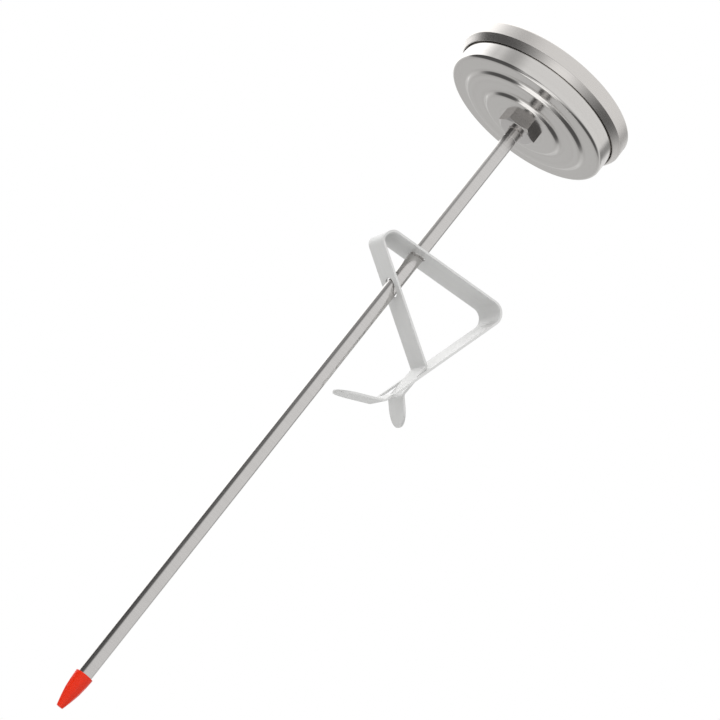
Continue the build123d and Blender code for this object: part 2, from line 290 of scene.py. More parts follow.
def turn_about_stem(clockwise: float) -> None:
    """Turns the selection about Z in edit mode, by degrees clockwise as the dial is read."""
    bpy.ops.transform.rotate(value=math.radians(clockwise), orient_axis="Z", center_override=(0, 0, 0))


def joined(name: str, pieces: Sequence[Piece]) -> Piece:
    """Joins several objects into one.

    Args:
        name: Name of the whole.
        pieces: The objects to join.

    Returns:
        The whole, in object mode.
    """
    make_active(pieces[0])
    for piece in pieces:
        piece.select_set(True)
    bpy.ops.object.join()
    bpy.ops.object.mode_set(mode="EDIT")
    close_seams()
    bpy.ops.object.mode_set(mode="OBJECT")
    pieces[0].name = name
    return pieces[0]


# ---------------------------------------------------------------- finishes


def linear(colour: str) -> tuple[float, float, float, float]:
    """Turns an sRGB hex colour to the linear colour that shaders take.

    Args:
        colour: Such as "#c4222a".

    Returns:
        Linear red, green and blue, and a full alpha.
    """
    channels = [int(colour[place : place + 2], 16) / 255 for place in (1, 3, 5)]
    red, green, blue = [c / 12.92 if c <= 0.04045 else ((c + 0.055) / 1.055) ** 2.4 for c in channels]
    return (red, green, blue, 1.0)


@dataclass
class Sheet:
    """The node tree of one material or of the world."""

    tree: bpy.types.NodeTree

    def add(
        self,
        kind: str,
        values: dict[str | int, object] | None = None,
        links: dict[str | int, Socket] | None = None,
        **settings: object,
    ) -> bpy.types.Node:
        """Adds a node.

        Args:
            kind: The node's type name.
            values: Values for its unlinked inputs.
            links: Sockets that feed its inputs.
            **settings: The node's own options.

        Returns:
            The new node.
        """
        node = self.tree.nodes.new(kind)
        for key, value in settings.items():
            setattr(node, key, value)
        for key, value in (values or {}).items():
            node.inputs[key].default_value = value
        for key, source in (links or {}).items():
            self.tree.links.new(source, node.inputs[key])
        return node


class Lay(Enum):
    """Which way the marks of a finish run."""

    ROUND = "round the stem's axis, as a lathe or a polishing wheel leaves them"
    ALONG = "along the stem, as drawing a tube leaves them"
    STRIP = "along the sheet strip, as rolling leaves them"
    NONE = "no direction, as moulding, blasting or spraying leaves them"


MARK_DETAIL = 4.0                # octaves of the fine marks
MARK_ROUGHNESS = 0.6             # share of each finer octave
MARK_SPREAD = (0.3, 0.7)         # marks between these values run from the low to the high roughness
BLOTCH_DETAIL = 3.0              # octaves of the blotches
BLOTCH_WARP = 0.6                # how far the blotches are pulled out of round
BLOTCH_SPREAD = (0.35, 0.68)     # blotches between these values run from none to full
# How far the pattern is drawn out along each axis where the marks run one way.
DRAWN_OUT = {Lay.ALONG: (1, 1, 0.02), Lay.STRIP: (0.03, 1, 0.03)}


@dataclass(frozen=True)
class Finish:
    """A real material and how its surface was made.

    Sizes are millimetres. The marks of ground, brushed and turned metal are really some hundredths of a
    millimetre apart, and are drawn coarser, so that they show.
    """

    name: str
    colour: str
    shade: str
    roughness: tuple[float, float]
    lay: Lay = Lay.NONE
    mark: float = 0.5
    depth: float = 0.0
    blotch: float = 12.0
    smudge: float = 0.0
    metallic: float = 0.0
    ior: float = 1.5
    specular: float = 0.5
    anisotropic: float = 0.0
    coat: float = 0.0
    coat_roughness: float = 0.1
    subsurface: float = 0.0
    transmission: float = 0.0

    def marks(self, sheet: Sheet) -> Socket:
        """Adds the fine marks of the surface.

        Args:
            sheet: The material's node tree.

        Returns:
            A socket from 0 to 1 that follows the marks.
        """
        spot = sheet.add("ShaderNodeTexCoord").outputs["Object"]
        stretch = DRAWN_OUT.get(self.lay, (1, 1, 1))
        if self.lay is Lay.ROUND:
            flat = sheet.add("ShaderNodeVectorMath", {1: (1, 1, 0)}, {0: spot}, operation="MULTIPLY")
            radius = sheet.add("ShaderNodeVectorMath", links={0: flat.outputs[0]}, operation="LENGTH")
            height = sheet.add("ShaderNodeSeparateXYZ", links={0: spot}).outputs["Z"]
            spot = sheet.add("ShaderNodeCombineXYZ", links={0: radius.outputs["Value"], 1: height}).outputs[0]
        place = sheet.add("ShaderNodeMapping", {"Scale": stretch}, {"Vector": spot})
        size = {"Scale": 1 / (self.mark * MM), "Detail": MARK_DETAIL, "Roughness": MARK_ROUGHNESS}
        return sheet.add("ShaderNodeTexNoise", size, {"Vector": place.outputs[0]}).outputs["Fac"]

    def blotches(self, sheet: Sheet) -> Socket:
        """Adds the slow change of tone that handling and making leave.

        Args:
            sheet: The material's node tree.

        Returns:
            A socket from 0 to 1 that follows the blotches.
        """
        spot = sheet.add("ShaderNodeTexCoord").outputs["Object"]
        size = {"Scale": 1 / (self.blotch * MM), "Detail": BLOTCH_DETAIL, "Distortion": BLOTCH_WARP}
        noise = sheet.add("ShaderNodeTexNoise", size, {"Vector": spot}).outputs["Fac"]
        spread = dict(zip(("From Min", "From Max"), BLOTCH_SPREAD))
        return sheet.add("ShaderNodeMapRange", spread, {"Value": noise}).outputs[0]

    def material(self) -> bpy.types.Material:
        """Builds the material, unless it was built before.

        Returns:
            The material.
        """
        if self.name in bpy.data.materials:
            return bpy.data.materials[self.name]
        made = bpy.data.materials.new(self.name)
        made.use_nodes = True
        made.node_tree.nodes.clear()
        sheet = Sheet(made.node_tree)
        marks = self.marks(sheet)
        blotches = self.blotches(sheet)
        tones = {6: linear(self.colour), 7: linear(self.shade)}
        tone = sheet.add("ShaderNodeMix", tones, {0: marks}, data_type="RGBA")
        spread = dict(zip(("From Min", "From Max", "To Min", "To Max"), (*MARK_SPREAD, *self.roughness)))
        rough = sheet.add("ShaderNodeMapRange", spread, {"Value": marks}).outputs[0]
        links = {0: blotches, 2: rough}
        worn = sheet.add("ShaderNodeMath", {1: self.smudge}, links, operation="MULTIPLY_ADD")
        shader = sheet.add(
            "ShaderNodeBsdfPrincipled",
            {
                "Metallic": self.metallic,
                "IOR": self.ior,
                "Specular IOR Level": self.specular,
                "Anisotropic": self.anisotropic,
                "Coat Weight": self.coat,
                "Coat Roughness": self.coat_roughness,
                "Subsurface Weight": self.subsurface,
                "Subsurface Scale": MM,
                "Transmission Weight": self.transmission,
            },
            {"Base Color": tone.outputs[2], "Roughness": worn.outputs[0]},
        )
        if self.depth > 0:
            lift = {"Strength": 1.0, "Distance": self.depth * MM}
            bump = sheet.add("ShaderNodeBump", lift, {"Height": marks})
            sheet.tree.links.new(bump.outputs[0], shader.inputs["Normal"])
        if self.anisotropic > 0:
            tangent = sheet.add("ShaderNodeTangent", direction_type="RADIAL", axis="Z")
            sheet.tree.links.new(tangent.outputs[0], shader.inputs["Tangent"])
        sheet.add("ShaderNodeOutputMaterial", links={"Surface": shader.outputs[0]})
        return made


# Centreless-ground 304 stainless tube: a satin skin with very fine lines round it and a soft reflection.
GROUND_STAINLESS = Finish(
    "ground_stainless_tube", "#dedcda", "#cfccca", (0.15, 0.2), Lay.ROUND,
    mark=0.35, depth=0.0001, blotch=18.0, smudge=0.04, metallic=1.0,
)
# Turned and tumbled 304 bar: clean facets with faint tool marks, a little darker than sheet.
TURNED_NUT = Finish(
    "turned_stainless_hexagon", "#d6d3d1", "#cecbc9", (0.14, 0.19),
    mark=1.2, blotch=6.0, smudge=0.05, metallic=1.0,
)
# Deep-drawn 430 sheet, buffed: nearly a mirror, with a slight haze round the axis and finger smudges.
BUFFED_SHEET = Finish(
    "buffed_drawn_stainless", "#dfddda", "#d6d3d0", (0.09, 0.15), Lay.ROUND,
    mark=0.8, depth=0.0002, blotch=16.0, smudge=0.06, metallic=1.0,
)
# The front ring is circular-brushed: fine grooves round the window stretch each reflection into a fan.
BRUSHED_RING = Finish(
    "circular_brushed_stainless", "#e4e1de", "#d6d2ce", (0.2, 0.28), Lay.ROUND,
    mark=0.14, depth=0.0004, blotch=20.0, smudge=0.04, metallic=1.0, anisotropic=0.75,
)
# Cold-rolled spring strip, tumbled after bending: its matt skin scatters part of the light like paint, so
# it looks an even light grey, with a soft metal sheen and faint streaks along the strip.
ROLLED_STRIP = Finish(
    "tumbled_spring_strip", "#e0e0df", "#d8d8d7", (0.42, 0.5), Lay.STRIP,
    mark=0.4, depth=0.0001, blotch=9.0, smudge=0.05, metallic=0.4, specular=0.1,
)
# Dip-moulded soft vinyl: bright red, waxy, with a slight orange-peel skin that lets a little light in.
RED_VINYL = Finish(
    "soft_red_vinyl", "#e02d0b", "#d82707", (0.26, 0.32),
    mark=1.2, depth=0.0006, blotch=3.0, smudge=0.05, ior=1.53, specular=0.3, subsurface=0.05,
)
# Aluminium dial, sprayed with silver lacquer: a fine metallic flake under a thin clear coat.
SILVER_LACQUER = Finish(
    "silver_lacquered_dial", "#c9cbcc", "#bcbec0", (0.42, 0.52),
    mark=0.12, depth=0.001, blotch=14.0, smudge=0.03, metallic=0.55, coat=0.25, coat_roughness=0.25,
)
# Screen-printed ink: dead black with the faint tooth of the mesh.
SCREEN_INK = Finish(
    "black_screen_ink", "#17171a", "#222226", (0.5, 0.62),
    mark=0.1, depth=0.0008, blotch=5.0, smudge=0.02,
)
# Enamelled steel needle: one even coat of signal red, half gloss.
RED_ENAMEL = Finish(
    "red_enamelled_needle", "#c4222a", "#b71e26", (0.32, 0.4),
    mark=0.6, depth=0.002, blotch=4.0, smudge=0.05, coat=0.3,
)
# Moulded acetal button: creamy, slightly see-through at its edge, with a soft sheen.
CREAM_ACETAL = Finish(
    "cream_acetal_button", "#dad7c7", "#d0ccba", (0.38, 0.48),
    depth=0.001, blotch=2.0, smudge=0.05, ior=1.48, subsurface=0.1,
)
# Float glass window: clear, flat and hardly marked. It mirrors less here than bare glass does, so that the
# dial reads without glare.
WINDOW_GLASS = Finish(
    "clear_float_glass", "#ffffff", "#fefefe", (0.0, 0.002),
    mark=2.0, blotch=10.0, ior=1.52, specular=0.25, transmission=1.0,
)
# Nitrile gasket: dull black rubber with a powdery skin.
NITRILE = Finish(
    "black_nitrile_rubber", "#1d1d1d", "#2a2a29", (0.62, 0.78),
    mark=0.3, depth=0.004, blotch=5.0, smudge=0.05,
)
# Turned aluminium sleeve between the dial and the seal: pale, with lathe lines.
TURNED_ALUMINIUM = Finish(
    "turned_aluminium_sleeve", "#c8c9ca", "#b9babb", (0.32, 0.44), Lay.ROUND,
    mark=0.18, depth=0.001, blotch=8.0, smudge=0.04, metallic=1.0,
)
# Free-cutting brass: yellow, with lathe lines and a light tarnish in patches.
TURNED_BRASS = Finish(
    "turned_brass", "#d9b566", "#c69c4c", (0.24, 0.36), Lay.ROUND,
    mark=0.15, depth=0.001, blotch=3.0, smudge=0.1, metallic=1.0,
)
# Hard-rolled spring steel washer: darker and bluer than stainless, lightly oiled.
SPRING_STEEL = Finish(
    "oiled_spring_steel", "#a3a5a8", "#8e9094", (0.22, 0.34), Lay.ROUND,
    mark=0.25, depth=0.001, blotch=4.0, smudge=0.08, metallic=1.0,
)
# Rolled bimetal strip: grey nickel-iron face with a warm manganese-alloy cast in streaks.
BIMETAL = Finish(
    "rolled_bimetal_strip", "#b9b2a6", "#a8997f", (0.3, 0.42), Lay.ALONG,
    mark=0.2, depth=0.001, blotch=3.0, smudge=0.08, metallic=1.0,
)
# Vulcanised fibre washer: red-brown, dull and faintly fibrous.
VULCAN_FIBRE = Finish(
    "vulcanised_fibre", "#7a3b2a", "#5f2c20", (0.6, 0.75),
    mark=0.25, depth=0.006, blotch=2.0, smudge=0.05,
)
# Matt studio paper under the object.
STUDIO_PAPER = Finish(
    "pale_studio_paper", "#fbfbfa", "#f8f8f7", (0.8, 0.9),
    mark=2.0, depth=0.05, blotch=300.0, smudge=0.02,
)


@dataclass(frozen=True)
class Place:
    """Where a finished piece belongs: its body, the record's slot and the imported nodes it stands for."""

    body: str
    slot: str | None = None
    nodes: tuple[str, ...] = ()


def hand_over(piece: Piece, finish: Finish, place: Place) -> Piece:
    """Dresses a finished piece, lets it ride on its body and reports it.

    Args:
        piece: The finished object, at the origin, unturned and unscaled.
        finish: Its material.
        place: Where it belongs.

    Returns:
        The same object.
    """
    piece.data.materials.clear()
    piece.data.materials.append(finish.material())
    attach(piece, place.body)
    if place.nodes:
        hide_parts(*place.nodes)
    log.info("%s: %d faces, %s, on %s", piece.name, len(piece.data.polygons), finish.name, place.body)
    return piece


# ---------------------------------------------------------------- stem


@dataclass
class Stem:
    """The probe: a ground tube, its welded point and the hexagon nut under the head."""

    radius: float = 2.0
    wall: float = 0.3
    tube_top: float = 9.4
    tube_bottom: float = -187.2
    point_bottom: float = -194.4
    point_radius: float = 0.35
    point_round: float = 0.2
    plug_top: float = -184.2
    seam: float = 0.06
    groove_place: float = -2.7
    groove_depth: float = 0.08
    groove_half: float = 0.14
    nut_flats: float = 10.0
    nut_height: float = 2.445
    nut_turn: float = 10.0
    nut_inset: float = 0.15
    nut_chamfer: float = 30.0
    nut_edge: float = 0.12
    nut_corner: float = 0.05
    nut_shade_angle: float = 14.0
    neck_radius: float = 3.15
    neck_top: float = 5.05
    sink_radius: float = 2.45
    sink_depth: float = 0.4
    inner_finishes: dict[str, Finish] = field(
        default_factory=lambda: {
            "hub_washer": VULCAN_FIBRE,
            "friction_spring": SPRING_STEEL,
            "retaining_collar": TURNED_BRASS,
            "top_bearing": TURNED_BRASS,
            "bimetal_helix": BIMETAL,
            "guide_bush_1": TURNED_BRASS,
            "guide_bush_2": TURNED_BRASS,
            "guide_bush_3": TURNED_BRASS,
        }
    )

    def tube(self) -> Piece:
        """Turns the stem's tube, with a fine groove under the nut and a soft edge at the weld.

        Returns:
            The tube.
        """
        outline = [
            Corner(self.radius, self.tube_top, self.seam),
            Corner(self.radius, self.groove_place + self.groove_half),
            Corner(self.radius - self.groove_depth, self.groove_place),
            Corner(self.radius, self.groove_place - self.groove_half),
            Corner(self.radius, self.tube_bottom, self.seam),
            Corner(self.radius - self.wall, self.tube_bottom),
            Corner(self.radius - self.wall, self.tube_top),
        ]
        return turned("probe_tube", outline, THIN_TURN_STEPS)

    def point(self) -> Piece:
        """Turns the blunt cone at the end, with the shank that plugs the tube.

        Returns:
            The point.
        """
        shank = self.radius - self.wall
        outline = [
            Corner(0, self.plug_top),
            Corner(shank, self.plug_top, self.seam),
            Corner(shank, self.tube_bottom),
            Corner(self.radius, self.tube_bottom, self.seam),
            Corner(self.point_radius, self.point_bottom, self.point_round),
            Corner(0, self.point_bottom),
        ]
        return turned("probe_point", outline, THIN_TURN_STEPS)

    def nut(self) -> Piece:
        """Shapes the hexagon, trims its corners on a cone, and joins the neck above it.

        Returns:
            The nut.
        """
        corner_radius = self.nut_flats / math.sqrt(3)
        face_radius = self.nut_flats / 2 - self.nut_inset
        rise = (corner_radius - face_radius) * math.tan(math.radians(self.nut_chamfer))
        stop_editing()
        bpy.ops.mesh.primitive_cylinder_add(
            vertices=6, radius=corner_radius * MM, depth=self.nut_height * MM, location=(0, 0, 0)
        )
        nut = bpy.context.object
        nut.name = "clamp_nut"
        bpy.ops.object.mode_set(mode="EDIT")
        bpy.ops.mesh.select_all(action="SELECT")
        bpy.ops.transform.translate(value=metres(0, 0, self.nut_height / 2))
        turn_about_stem(-self.nut_turn)
        pick(nut, lambda middle: abs(middle.z - self.nut_height / 2) < MERGE, "EDGE")
        bpy.ops.mesh.bevel(offset=self.nut_corner * MM, segments=EDGE_STEPS, affect="EDGES")
        bpy.ops.object.mode_set(mode="OBJECT")
        trim = turned(
            "nut_trim",
            [
                Corner(self.radius, self.sink_depth),
                Corner(self.sink_radius, 0),
                Corner(face_radius, 0, self.nut_edge),
                Corner(corner_radius + self.nut_inset, rise + self.nut_inset * rise),
                Corner(corner_radius + self.nut_inset, self.nut_height),
                Corner(self.neck_radius, self.nut_height),
                Corner(self.radius, self.nut_height),
            ],
        )
        combine(nut, trim, "INTERSECT")
        neck = turned(
            "nut_neck",
            [
                Corner(self.radius, self.nut_height - self.nut_edge),
                Corner(self.neck_radius, self.nut_height - self.nut_edge),
                Corner(self.neck_radius, self.neck_top, self.nut_edge),
                Corner(self.radius, self.neck_top),
            ],
        )
        combine(nut, neck, "UNION")
        return smoothed(nut, self.nut_shade_angle)

    def build(self) -> None:
        """Makes and dresses the stem's pieces."""
        hand_over(self.tube(), GROUND_STAINLESS, Place("stem", "satin_stem", ("stem_tube",)))
        hand_over(self.point(), GROUND_STAINLESS, Place("stem", "satin_stem", ("stem_point",)))
        hand_over(self.nut(), TURNED_NUT, Place("stem", "polished_nut", ("hex_nut",)))
        dress_nodes(self.inner_finishes)


def dress_nodes(finishes: dict[str, Finish]) -> None:
    """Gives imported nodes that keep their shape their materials.

    Args:
        finishes: The finish of each node, by the node's name.
    """
    for node, finish in finishes.items():
        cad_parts[node].data.materials.clear()
        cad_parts[node].data.materials.append(finish.material())
        log.info("%s: packed shape, %s", node, finish.name)


# ---------------------------------------------------------------- head


@dataclass
class Head:
    """The drawn case with its terraced back, and the ring crimped over it that holds the window."""

    bore: float = 3.2
    floor: float = 2.45
    sheet: float = 0.6
    step: float = 1.0
    step_radii: tuple[float, float] = (10.9, 17.9)
    step_lead: float = 0.5
    step_run: float = 2.0
    step_bend: float = 1.2
    wall_radius: float = 24.3
    edge_round: float = 1.0
    flange_bottom: float = 12.0
    flange_radius: float = 25.28
    rim_radius: float = 26.0
    rim_round: float = 0.6
    rim_bore: float = 25.4
    rim_low: float = 11.95
    ring_top: float = 16.0
    window_radius: float = 21.2
    window_round: float = 0.25
    lip_low: float = 10.05
    lip_bore: float = 24.48
    lip_edge: float = 0.34
    crease: float = 0.3
    glass_bottom: float = 13.4
    glass_top: float = 15.4
    glass_bevel: float = 0.3

    def case_side(self, lift: float, wall: float, bend: float) -> list[Corner]:
        """Corners of one side of the case sheet, from the hub to the top of the wall.

        Args:
            lift: Height of this side above the outer one.
            wall: Radius of the wall on this side.
            bend: Rounding of the edge between the back and the wall.

        Returns:
            The corners, with two rounded ones for each S-shaped step.
        """
        height = self.floor + lift
        route = [Corner(self.bore, height)]
        for radius in self.step_radii:
            route.append(Corner(radius + self.step_lead, height, self.step_bend))
            height += self.step
            route.append(Corner(radius + self.step_run - self.step_lead, height, self.step_bend))
        route.append(Corner(wall, height, bend))
        return route

    def case(self) -> Piece:
        """Turns the case from both sides of its sheet and the flange between them.

        Returns:
            The case.
        """
        outside = self.case_side(0, self.wall_radius, self.edge_round)
        inside = self.case_side(self.sheet, self.wall_radius - self.sheet, self.edge_round - self.sheet)
        flange = [
            Corner(self.wall_radius, self.flange_bottom, self.crease),
            Corner(self.flange_radius, self.flange_bottom),
            Corner(self.flange_radius, self.flange_bottom + self.sheet),
            Corner(self.wall_radius - self.sheet, self.flange_bottom + self.sheet),
        ]
        return turned("back_case", [*outside, *flange, *reversed(inside)])

    def bezel(self) -> Piece:
        """Turns the front ring, its rim and the lip that is rolled in under the flange.

        Returns:
            The ring.
        """
        lip_round = self.lip_edge / 3
        outline = [
            Corner(self.window_radius, self.glass_top),
            Corner(self.rim_bore, self.glass_top),
            Corner(self.rim_bore, self.rim_low),
            Corner(self.lip_bore, self.lip_low, lip_round),
            Corner(self.lip_bore + self.lip_edge, self.lip_low, lip_round),
            Corner(self.rim_radius, self.rim_low, self.crease),
            Corner(self.rim_radius, self.ring_top, self.rim_round),
            Corner(self.window_radius, self.ring_top, self.window_round),
        ]
        return turned("front_bezel", outline)

    def window(self) -> Piece:
        """Turns the flat glass with a small bevel round its front edge.

        Returns:
            The glass.
        """
        outline = [
            Corner(0, self.glass_bottom),
            Corner(self.flange_radius, self.glass_bottom),
            Corner(self.flange_radius, self.glass_top - self.glass_bevel),
            Corner(self.flange_radius - self.glass_bevel, self.glass_top),
            Corner(0, self.glass_top),
        ]
        return turned("glass_window", outline)

    def build(self) -> None:
        """Makes and dresses the head's shell."""
        hand_over(self.case(), BUFFED_SHEET, Place("head", "polished_case", ("rear_case",)))
        hand_over(self.bezel(), BRUSHED_RING, Place("head", "satin_bezel", ("bezel_ring",)))
        hand_over(self.window(), WINDOW_GLASS, Place("head", "window_glass", ("glass_lens",)))
        dress_nodes({"lens_gasket": NITRILE, "dial_seat": TURNED_ALUMINIUM})


# ---------------------------------------------------------------- dial


@dataclass(frozen=True)
class Scale:
    """A round scale: where its first value stands and how far it turns for each unit.

    Angles are clockwise from six o'clock.
    """

    first: float
    last: float
    start: float = 45.0
    sweep: float = 270.0

    def angle(self, value: float) -> float:
        """Degrees clockwise from six o'clock at which a value stands."""
        return self.start + (value - self.first) * self.sweep / (self.last - self.first)

    def spot(self, value: float, radius: float) -> tuple[float, float]:
        """The x and y, in millimetres, of a value at a radius."""
        turn = math.radians(self.angle(value))
        return -radius * math.sin(turn), -radius * math.cos(turn)


@dataclass(frozen=True)
class TickRow:
    """Ticks of one length on a scale, all a whole step apart."""

    scale: Scale
    inner: float
    outer: float
    width: float
    first: float
    step: float
    count: int


@dataclass(frozen=True)
class Figures:
    """The numbers of one scale."""

    scale: Scale
    values: tuple[int, ...]
    radius: float
    height: float
    upright: bool


FAHRENHEIT = Scale(32.0, 400.0)
CELSIUS = Scale(0.0, 200.0, sweep=264.1)


@dataclass
class Dial:
    """The lacquered plate with its two printed scales, and the sleeve that holds it down."""

    hole: float = 0.95
    radius: float = 23.58
    bottom: float = 10.7
    top: float = 11.2
    rest_radius: float = 20.8
    rest_drop: float = 0.1
    sleeve_bore: float = 22.48
    sleeve_top: float = 13.4
    ink: float = 0.012
    line: float = 0.2
    ring_radii: tuple[float, float] = (13.0, 13.7)
    unit_height: float = 1.75
    unit_drops: tuple[tuple[str, float], ...] = (("°C", 11.7), ("°F", 14.6))
    digit_share: float = 0.7
    edge: float = 0.05
    rows: tuple[TickRow, ...] = (
        TickRow(FAHRENHEIT, 13.7, 16.2, 0.25, 40.0, 10.0, 37),
        TickRow(FAHRENHEIT, 13.7, 14.95, 0.19, 35.0, 10.0, 37),
        TickRow(FAHRENHEIT, 13.7, 16.2, 0.25, 32.0, 10.0, 1),
        TickRow(CELSIUS, 10.6, 13.0, 0.24, 0.0, 10.0, 21),
        *(TickRow(CELSIUS, 11.65, 13.0, 0.18, first, 10.0, 20) for first in (2.0, 4.0, 6.0, 8.0)),
    )
    figures: tuple[Figures, ...] = (
        Figures(FAHRENHEIT, (32, 50, 100, 150, 200, 250, 300, 350, 400), 18.6, 2.05, False),
        Figures(CELSIUS, tuple(range(0, 201, 20)), 8.9, 1.75, True),
    )

    def plate(self) -> Piece:
        """Turns the dial plate, with its outer border pressed slightly lower.

        Returns:
            The plate.
        """
        outline = [
            Corner(self.hole, self.bottom),
            Corner(self.radius, self.bottom),
            Corner(self.radius, self.top - self.rest_drop),
            Corner(self.rest_radius + self.rest_drop, self.top - self.rest_drop, self.rest_drop),
            Corner(self.rest_radius - self.rest_drop, self.top, self.rest_drop),
            Corner(self.hole, self.top),
        ]
        return turned("dial_face", outline)

    def sleeve(self) -> Piece:
        """Turns the spacer ring between the dial and the seal.

        Returns:
            The sleeve.
        """
        low = self.top - self.rest_drop
        outline = [
            Corner(self.sleeve_bore, low, self.edge),
            Corner(self.radius, low),
            Corner(self.radius, self.sleeve_top),
            Corner(self.sleeve_bore, self.sleeve_top, self.edge),
        ]
        return turned("dial_sleeve", outline)

    def scale_line(self, radius: float) -> Piece:
        """Draws one printed arc, from the first to the last tick.

        Args:
            radius: Middle radius of the line.

        Returns:
            The arc as flat raised ink.
        """
        half = self.line / 2
        piece = start_piece("scale_line", metres(radius - half, 0, self.top))
        extrude(metres(self.line, 0, 0))
        bpy.ops.mesh.select_all(action="SELECT")
        extrude(metres(0, 0, self.ink))
        bpy.ops.mesh.select_all(action="SELECT")
        sweep = math.radians(FAHRENHEIT.sweep)
        bpy.ops.mesh.spin(steps=TURN_STEPS, angle=sweep, center=(0, 0, 0), axis=(0, 0, 1))
        close_seams()
        turn_about_stem(FAHRENHEIT.start + X_TO_SIX)
        bpy.ops.object.mode_set(mode="OBJECT")
        return piece

    def tick_row(self, row: TickRow) -> Piece:
        """Draws one tick and copies it round the scale.

        Args:
            row: The ticks to draw.

        Returns:
            All ticks of the row as one object.
        """
        piece = start_piece("ticks", metres(row.inner, -row.width / 2, self.top))
        extrude(metres(row.outer - row.inner, 0, 0))
        bpy.ops.mesh.select_all(action="SELECT")
        extrude(metres(0, row.width, 0))
        bpy.ops.mesh.select_all(action="SELECT")
        extrude(metres(0, 0, self.ink))
        close_seams()
        turn_about_stem(row.scale.angle(row.first) + X_TO_SIX)
        step = row.scale.angle(row.step) - row.scale.angle(0)
        for _ in range(row.count - 1):
            bpy.ops.mesh.duplicate()
            turn_about_stem(step)
        bpy.ops.object.mode_set(mode="OBJECT")
        return piece

    def lettering(self, text: str, height: float, spot: tuple[float, float], turn: float) -> Piece:
        """Sets a number or unit as flat raised ink.

        Args:
            text: What is printed.
            height: Height of its figures in millimetres.
            spot: Its middle, x and y in millimetres.
            turn: Degrees that it is turned, counter-clockwise as the dial is read.

        Returns:
            The lettering as a mesh in its place.
        """
        stop_editing()
        bpy.ops.object.text_add()
        words = bpy.context.object
        words.data.body = text
        words.data.size = height / self.digit_share * MM
        words.data.align_x = "CENTER"
        words.data.align_y = "CENTER"
        words.data.resolution_u = LETTER_STEPS
        words.data.extrude = self.ink / 2 * MM
        bpy.ops.object.convert(target="MESH")
        piece = bpy.context.object
        piece.location = metres(*spot, self.top + self.ink / 2)
        piece.rotation_euler = (0, 0, math.radians(turn))
        bpy.ops.object.transform_apply(location=True, rotation=True, scale=True)
        return piece

    def numbers(self) -> list[Piece]:
        """Sets every number of both scales; a number that would stand on its head is turned round.

        Returns:
            One mesh for each number.
        """
        pieces = []
        for row in self.figures:
            for value in row.values:
                spot = row.scale.spot(value, row.radius)
                head_over = 180 if spot[1] < 0 else 0
                turn = 0 if row.upright else 180 - row.scale.angle(value) + head_over
                pieces.append(self.lettering(str(value), row.height, spot, turn))
        return pieces

    def build(self) -> None:
        """Makes and dresses the dial, its print and its sleeve."""
        hand_over(self.plate(), SILVER_LACQUER, Place("head", "silver_dial", ("dial_plate",)))
        hand_over(self.sleeve(), TURNED_ALUMINIUM, Place("head", "spacer_aluminium", ("dial_spacer",)))
        lines = [self.scale_line(radius) for radius in self.ring_radii]
        ticks = [self.tick_row(row) for row in self.rows]
        hand_over(joined("printed_scales", [*lines, *ticks]), SCREEN_INK, Place("head"))
        units = [self.lettering(text, self.unit_height, (0, -drop), 0) for text, drop in self.unit_drops]
        hand_over(joined("printed_numbers", [*self.numbers(), *units]), SCREEN_INK, Place("head"))


# ---------------------------------------------------------------- movement


@dataclass
class Movement:
    """The needle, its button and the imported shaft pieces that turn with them."""

    bottom: float = 11.9
    sheet: float = 0.25
    tip_reach: float = 16.5
    tip_width: float = 0.25
    tail_reach: float = 8.85
    tail_width: float = 2.6
    hub_radius: float = 1.9
    rest_angle: float = 23.3
    edge: float = 0.03
    button_radius: float = 1.53
    button_height: float = 0.7
    button_round: float = 0.42

    def needle(self) -> Piece:
        """Draws the tapered blade from its tail to its tip, joins the round hub and softens the edges.

        Returns:
            The needle, turned to its place at rest.
        """
        half_tail = self.tail_width / 2
        blade = start_piece("pointer_needle", metres(-self.tail_reach, -half_tail, self.bottom))
        extrude(metres(0, self.tail_width, 0))
        bpy.ops.mesh.select_all(action="SELECT")
        extrude(metres(self.tail_reach + self.tip_reach, 0, 0))
        narrowing = self.tip_width / self.tail_width
        bpy.ops.transform.resize(value=(1, narrowing, 1), center_override=metres(0, 0, self.bottom))
        bpy.ops.mesh.select_all(action="SELECT")
        extrude(metres(0, 0, self.sheet))
        close_seams()
        hub = turned(
            "needle_hub",
            [
                Corner(0, self.bottom),
                Corner(self.hub_radius, self.bottom),
                Corner(self.hub_radius, self.bottom + self.sheet),
                Corner(0, self.bottom + self.sheet),
            ],
            THIN_TURN_STEPS,
        )
        combine(blade, hub, "UNION")
        apply_modifier(blade, "BEVEL", width=self.edge * MM, segments=EDGE_STEPS, limit_method="ANGLE")
        make_active(blade)
        bpy.ops.object.mode_set(mode="EDIT")
        bpy.ops.mesh.select_all(action="SELECT")
        turn_about_stem(self.rest_angle + X_TO_SIX)
        return smoothed(blade)

    def button(self) -> Piece:
        """Turns the domed button over the end of the shaft.

        Returns:
            The button.
        """
        bottom = self.bottom + self.sheet
        outline = [
            Corner(0, bottom),
            Corner(self.button_radius, bottom),
            Corner(self.button_radius, bottom + self.button_height, self.button_round),
            Corner(0, bottom + self.button_height),
        ]
        return turned("needle_button", outline, THIN_TURN_STEPS)

    def build(self) -> None:
        """Makes and dresses what turns over the dial."""
        hand_over(self.needle(), RED_ENAMEL, Place("movement", "pointer_red", ("pointer",)))
        hand_over(self.button(), CREAM_ACETAL, Place("movement", "hub_cream", ("pointer_cap",)))
        dress_nodes({"pointer_shaft": SPRING_STEEL})
        dress_nodes({"helix_head": TURNED_BRASS, "pointer_collet": TURNED_BRASS})


# ---------------------------------------------------------------- clip


